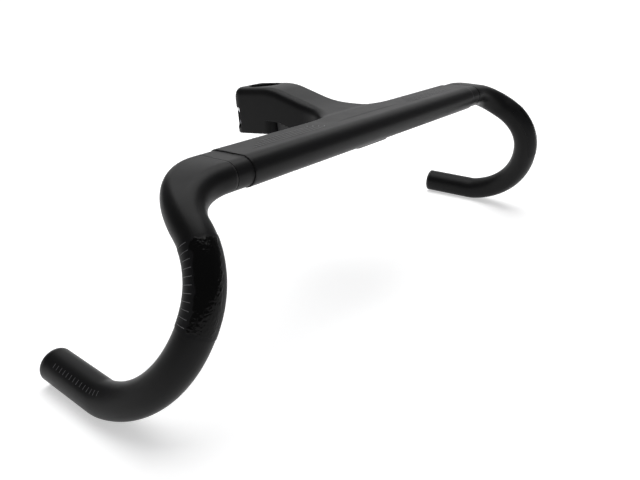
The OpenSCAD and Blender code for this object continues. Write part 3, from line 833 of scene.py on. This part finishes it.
# %% Run a tree and keep its result as a plain mesh
def grown(name, points, inside, tree, values):
    host = bpy.data.meshes.new(name + "_path")
    places = (np.asarray(points) + bar_middle) * MM
    host.from_pydata(places.tolist(), [(i, i + 1) for i in range(len(places) - 1)], [])
    way = host.attributes.new("inside", "FLOAT_VECTOR", "POINT")
    way.data.foreach_set("vector", np.asarray(inside, float).ravel())
    piece = bpy.data.objects.new(name, host)
    bpy.context.scene.collection.objects.link(piece)
    modifier = piece.modifiers.new("grow", "NODES")
    modifier.node_group = tree
    for socket in tree.interface.items_tree:
        if socket.in_out == "INPUT" and socket.name in values:
            modifier[socket.identifier] = values[socket.name]
    mesh = bpy.data.meshes.new_from_object(
        piece.evaluated_get(bpy.context.evaluated_depsgraph_get()))
    piece.modifiers.remove(modifier)
    piece.data = mesh
    bpy.data.meshes.remove(host)
    return piece


# %% Lever scales and ticks on both drops
def marks_on_drop(name, mirror, start, end, angle, sweep, count, width, lift):
    runs = np.linspace(start, end, 60)
    places = [along_drop(run) for run in runs]
    points = np.array([place[:3, 3] for place in places]) * (mirror, 1, 1)
    inside = np.array([place[:3, 0] for place in places]) * (mirror, 1, 1)
    begin = math.radians(angle if mirror > 0 else -angle - sweep)
    return grown(name, points, inside, arcs_along_tube, {
        "Count": count, "Radius": (TUBE + lift) * MM, "Start": begin,
        "Sweep": math.radians(sweep), "Width": width * MM, "Height": 0.08 * MM,
        "Finish": mark_paint})


sides = (("right", 1), ("left", -1))
scales = [
    marks_on_drop("lever_scale_" + side, mirror, 11.2, 57.5, 258, 34, 11, 0.35, FILM_RISE)
    for side, mirror in sides]
ticks = [
    marks_on_drop("grip_ticks_" + side, mirror, 150, 200, 288, 16, 14, 0.5, 0.01)
    for side, mirror in sides]
print("scale", len(scales[0].data.polygons), "ticks", len(ticks[0].data.polygons))

# %% [markdown]
# ## Pinstripes on the wing
# A few fine parallel lines with mitred ends decorate the top of the wing on each side of the stem.
# Each is a path that lies on the wing's flat top, and a flat ribbon is swept along it.

# %% A tree that sweeps a flat ribbon
def ribbon_tree():
    group = bpy.data.node_groups.new("flat_ribbon", "GeometryNodeTree")
    group.interface.new_socket("Geometry", in_out="INPUT", socket_type="NodeSocketGeometry")
    for name, kind in (("Width", "NodeSocketFloat"), ("Height", "NodeSocketFloat"),
                       ("Finish", "NodeSocketMaterial")):
        group.interface.new_socket(name, in_out="INPUT", socket_type=kind)
    group.interface.new_socket("Geometry", in_out="OUTPUT", socket_type="NodeSocketGeometry")
    tree = Tree(group)
    given = group.nodes.new("NodeGroupInput")
    take = {socket.name: Flow(tree, socket) for socket in given.outputs if socket.name}
    path = tree.node("GeometryNodeMeshToCurve", {}, {0: take["Geometry"]})
    level = tree.node("GeometryNodeSetCurveNormal", {"mode": "Z_UP"}, {"Curve": path})
    strip = tree.node("GeometryNodeCurvePrimitiveQuadrilateral", {"mode": "RECTANGLE"}, {
        0: take["Width"], 1: take["Height"]})
    line = tree.node("GeometryNodeCurveToMesh", {}, {
        "Curve": level, "Profile Curve": strip, "Fill Caps": True})
    real = tree.node("GeometryNodeRealizeInstances", {}, {0: line})
    done = tree.node("GeometryNodeSetMaterial", {}, {"Geometry": real, "Material": take["Finish"]})
    tree.node("NodeGroupOutput", {}, {"Geometry": done})
    return group


flat_ribbon = ribbon_tree()


# %% Lay the pinstripes
def wing_top(y):
    levels = np.linspace(-20, 20, 161)
    heights = np.linspace(0, 14, 561)
    field = wing_field(*np.meshgrid(levels, heights, indexing="ij"))
    tops = heights[np.argmin(np.abs(field), axis=1)]
    return float(np.interp(y, levels, tops))


MITRE = 3.0
STRIPE_LIFT = 0.05


def pinstripe(name, side, near, far, y):
    start = (side * near, y + MITRE, wing_top(y + MITRE) + STRIPE_LIFT)
    turn = (side * (near + MITRE), y, wing_top(y) + STRIPE_LIFT)
    end = (side * far, y, wing_top(y) + STRIPE_LIFT)
    path = np.array([start, turn, end])
    return grown(name, path, np.tile((0, 0, 1), (3, 1)), flat_ribbon, {
        "Width": 0.9 * MM, "Height": 0.10 * MM, "Finish": stripe_paint})


stripes = [
    pinstripe("pinstripe_%s_%d" % (label, row), side, 62 + 3 * row, 146 - 6 * row, -5 + 3.2 * row)
    for label, side in (("right", -1), ("left", 1)) for row in range(4)]
print("pinstripes", len(stripes))

# %% [markdown]
# ## The end plugs
# Each drop ends in a moulded cap with a small rounded edge, held by a screw in its middle. Turned
# parts like this are made by spinning a profile about an axis.

# %% Spin a profile into a closed piece
def spun(name, move, profile, mirror, around=96, sharp=40):
    angles = np.linspace(0, 2 * math.pi, around, endpoint=False)
    rings = [np.stack([r * np.cos(angles), r * np.sin(angles), np.full(around, z)], 1)
             for r, z in profile]
    points = placed(move, np.concatenate(rings)) * (mirror, 1, 1)
    count = len(rings)
    faces = skin_faces(count, around)
    faces += [((count - 1) * around + i, (count - 1) * around + (i + 1) % around,
               (i + 1) % around, i) for i in range(around)]
    return make_piece(name, points, faces, sharp=sharp)


end_place = along_drop(drop_run)


def arc_profile(radius, level, size, start, end, steps=6):
    return [(radius + size * math.cos(a), level + size * math.sin(a))
            for a in np.linspace(math.radians(start), math.radians(end), steps)]


def plug_profile():
    outer = arc_profile(11.3, 1.3, 0.7, 0, 90)
    dish = arc_profile(4.8, 1.5, 0.5, 90, 180)
    groove = [(9.7, -2.0), (9.35, -2.3), (9.35, -3.2), (9.7, -3.5)]
    stub = [(9.7, -0.02)] + groove + [(9.7, -7.6), (9.4, -8.0), (2.1, -8.0)]
    return [(12.0, 0.02)] + outer + dish + [(4.3, -1.0), (2.1, -1.0)] + stub[::-1]


plugs = {
    side: spun("end_cap_" + side, end_place, plug_profile(), mirror)
    for side, mirror in sides}
print("end caps", [len(plug.data.polygons) for plug in plugs.values()])

# %% [markdown]
# ## Knurled bolt heads
# The clamp bolts are socket-head screws, whose heads have fine upright ribs for fingers. The rib is
# one thin form repeated on a circle round the head, so the arc tree is not needed: a small tree
# sets a bar on each point of a circle.

# %% A tree that sets ribs round a head
def rib_tree():
    group = bpy.data.node_groups.new("head_ribs", "GeometryNodeTree")
    group.interface.new_socket("Geometry", in_out="INPUT", socket_type="NodeSocketGeometry")
    for name, kind in (("Count", "NodeSocketInt"), ("Radius", "NodeSocketFloat"),
                       ("Length", "NodeSocketFloat"), ("Size", "NodeSocketFloat"),
                       ("Finish", "NodeSocketMaterial")):
        group.interface.new_socket(name, in_out="INPUT", socket_type=kind)
    group.interface.new_socket("Geometry", in_out="OUTPUT", socket_type="NodeSocketGeometry")
    tree = Tree(group)
    given = group.nodes.new("NodeGroupInput")
    take = {socket.name: Flow(tree, socket) for socket in given.outputs if socket.name}
    circle = tree.node("GeometryNodeCurvePrimitiveCircle", {"mode": "RADIUS"}, {
        "Resolution": take["Count"], "Radius": take["Radius"]})
    points = tree.node("GeometryNodeCurveToPoints", {"mode": "EVALUATED"}, {"Curve": circle})
    rib = tree.node("GeometryNodeMeshCylinder", {"fill_type": "NGON"}, {
        "Vertices": 5, "Radius": take["Size"], "Depth": take["Length"]})
    ribs = tree.node("GeometryNodeInstanceOnPoints", {}, {"Points": points, "Instance": rib})
    real = tree.node("GeometryNodeRealizeInstances", {}, {0: ribs})
    done = tree.node("GeometryNodeSetMaterial", {}, {"Geometry": real, "Material": take["Finish"]})
    tree.node("NodeGroupOutput", {}, {"Geometry": done})
    return group


head_ribs = rib_tree()

# %% Put the ribs on the two bolts
def ribs_on_bolt(name, side, depth):
    piece = grown(name, [(0, 0, 0), (0, 0, 1)], [(1, 0, 0), (1, 0, 0)], head_ribs, {
        "Count": 36, "Radius": 3.75 * MM, "Length": 3.6 * MM, "Size": 0.16 * MM,
        "Finish": bright_steel})
    move = steerer @ shifted(side * 12.0, BOLT_LINE, -depth) @ turned(90, "Y")
    spots = np.array([vertex.co for vertex in piece.data.vertices]) / MM
    spots = (placed(move, spots) + bar_middle) * MM
    piece.data.vertices.foreach_set("co", spots.ravel())
    piece.data.update()
    return piece


ribs_upper = ribs_on_bolt("head_ribs_upper", -1, BOLT_DEPTHS[0])
ribs_lower = ribs_on_bolt("head_ribs_lower", 1, BOLT_DEPTHS[1])
print("ribs", len(ribs_upper.data.polygons), "faces")

# %% [markdown]
# ## Finishes and bodies
# New pieces get their material, ride on a body of the frame, and stand for the node they replace.
# Nodes whose shape is already right keep their mesh and only get a finish.

# %% Dress the new pieces
dressed = (
    (cockpit_shell, shell_paint, "cockpit", "carbon", "cockpit_shell"),
    (drop_right, drop_paint, "cockpit", "drop_carbon", "drop_right"),
    (drop_left, drop_paint, "cockpit", "drop_carbon", "drop_left"),
    (film_right, film_finish, "cockpit", "grip_film", "lever_grip_right"),
    (film_left, film_finish, "cockpit", "grip_film", "lever_grip_left"),
    (plugs["right"], plug_plastic, "end_plug_right", "plug_plastic", "plug_cap_right"),
    (plugs["left"], plug_plastic, "end_plug_left", "plug_plastic", "plug_cap_left"),
)
for piece, finish, body, slot, node in dressed:
    piece.data.materials.clear()
    piece.data.materials.append(finish)
    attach(piece, body)
    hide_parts(node)
for piece in scales + ticks + stripes:
    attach(piece, "cockpit")
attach(ribs_upper, "upper_bolt")
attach(ribs_lower, "lower_bolt")

# %% Dress the nodes that stay
node_finish = {
    "hose_cover": cover_plastic, "cover_screw": black_oxide, "mount_insert": turned_brass,
    "joint_sleeve": sleeve_carbon, "sleeve_nut": dull_steel, "clamp_bolt": bright_steel,
    "bolt_washer": bright_steel, "plug_expander": expander_rubber, "plug_cone": turned_alloy,
    "plug_screw": black_oxide, "cockpit_shell": shell_paint, "drop": drop_paint,
    "lever_grip": film_finish, "plug_cap": plug_plastic}
for name, node in nodes.items():
    finish = next(value for key, value in node_finish.items() if name.startswith(key))
    for slot in node.material_slots:
        slot.material = finish
print("nodes dressed", len(nodes))

# %% [markdown]
# ## Floor, light and camera
# The bar stands on a pale floor under one broad soft light from above, with a weaker one from behind
# the far side. Black paint shows its form only by what it reflects, so the lights are large and
# the floor glows a little. The camera stands in front, to the rider's right, and looks down.

# %% The floor and the wall behind
FLOOR_RADIUS = 14
WALL_RADIUS = 13.5
WALL_TOP = 14
SIDES = 96


def circle(radius):
    angles = np.linspace(0, 2 * math.pi, SIDES, endpoint=False)
    return [(radius * math.cos(a), radius * math.sin(a)) for a in angles]


def make_floor():
    mesh = bpy.data.meshes.new("floor")
    mesh.from_pydata([(x, y, 0) for x, y in circle(FLOOR_RADIUS)], [], [tuple(range(SIDES))])
    floor = bpy.data.objects.new("floor", mesh)
    bpy.context.scene.collection.objects.link(floor)
    material, tree = start_material("floor_paper")
    fibres = grain(tree, 60, detail=3)
    reach = tree.node("ShaderNodeVectorMath", {"operation": "LENGTH"}, {
        0: tree.node("ShaderNodeTexCoord", out=3)}, out=1)
    near = tree.node("ShaderNodeMapRange", {"interpolation_type": "SMOOTHSTEP"}, {
        0: reach, 1: 0.5, 2: 3.5, 3: 1.0, 4: 0.0})
    shader = tree.node("ShaderNodeBsdfPrincipled", {}, {
        "Base Color": mixed_colour(tree, fibres, (0.80, 0.80, 0.80), (0.82, 0.82, 0.82)),
        "Roughness": 0.9,
        "Specular IOR Level": 0.1,
        "Emission Color": mixed_colour(tree, near, (0.93, 0.93, 0.93), (0.50, 0.50, 0.50)),
        "Emission Strength": 1.0,
    })
    finish_material(tree, shader)
    mesh.materials.append(material)


def make_wall():
    mesh = bpy.data.meshes.new("wall")
    ring = circle(WALL_RADIUS)
    low = [(x, y, -0.1) for x, y in ring]
    high = [(x, y, WALL_TOP) for x, y in ring]
    mesh.from_pydata(low + high, [], skin_faces(2, SIDES))
    wall = bpy.data.objects.new("wall", mesh)
    bpy.context.scene.collection.objects.link(wall)
    material, tree = start_material("wall_paper")
    light = tree.node("ShaderNodeEmission", {}, {"Color": (1, 1, 1, 1), "Strength": 0.95})
    finish_material(tree, light)
    mesh.materials.append(material)
    wall.visible_diffuse = False
    wall.visible_glossy = False
    wall.visible_shadow = False


make_floor()
make_wall()


# %% Soft lights
AIM = Vector((0, 0, 0.1))


def soft_light(name, place, size, power):
    data = bpy.data.lights.new(name, "AREA")
    data.shape = "RECTANGLE"
    data.size, data.size_y = size
    data.energy = power
    lamp = bpy.data.objects.new(name, data)
    way = AIM - Vector(place)
    lamp.matrix_world = Matrix.Translation(place) @ way.to_track_quat("-Z", "Y").to_matrix().to_4x4()
    lamp.visible_camera = False
    bpy.context.scene.collection.objects.link(lamp)


soft_light("top_light", (0.2, 0.2, 1.5), (1.6, 1.6), 22)
soft_light("back_light", (1.5, 1.1, 0.95), (3.0, 1.4), 9.5)
world = bpy.data.worlds.new("studio")
bpy.context.scene.world = world
world.use_nodes = True
world.node_tree.nodes["Background"].inputs["Color"].default_value = (0.9, 0.9, 0.92, 1)
world.node_tree.nodes["Background"].inputs["Strength"].default_value = 0.22

# %% The camera
right = Vector((0.593, -0.805, 0.019)).normalized()
back = Vector((-0.747, -0.542, 0.386)).normalized()
up = back.cross(right).normalized()
right = up.cross(back)
camera_data = bpy.data.cameras.new("camera")
camera_data.sensor_width = 36
camera_data.lens = 38.1
camera = bpy.data.objects.new("camera", camera_data)
turn = Matrix((right, up, back)).transposed().to_4x4()
camera.matrix_world = Matrix.Translation((-0.4721, -0.3339, 0.2666)) @ turn
bpy.context.scene.collection.objects.link(camera)
bpy.context.scene.camera = camera
bpy.context.scene.view_settings.view_transform = "Standard"
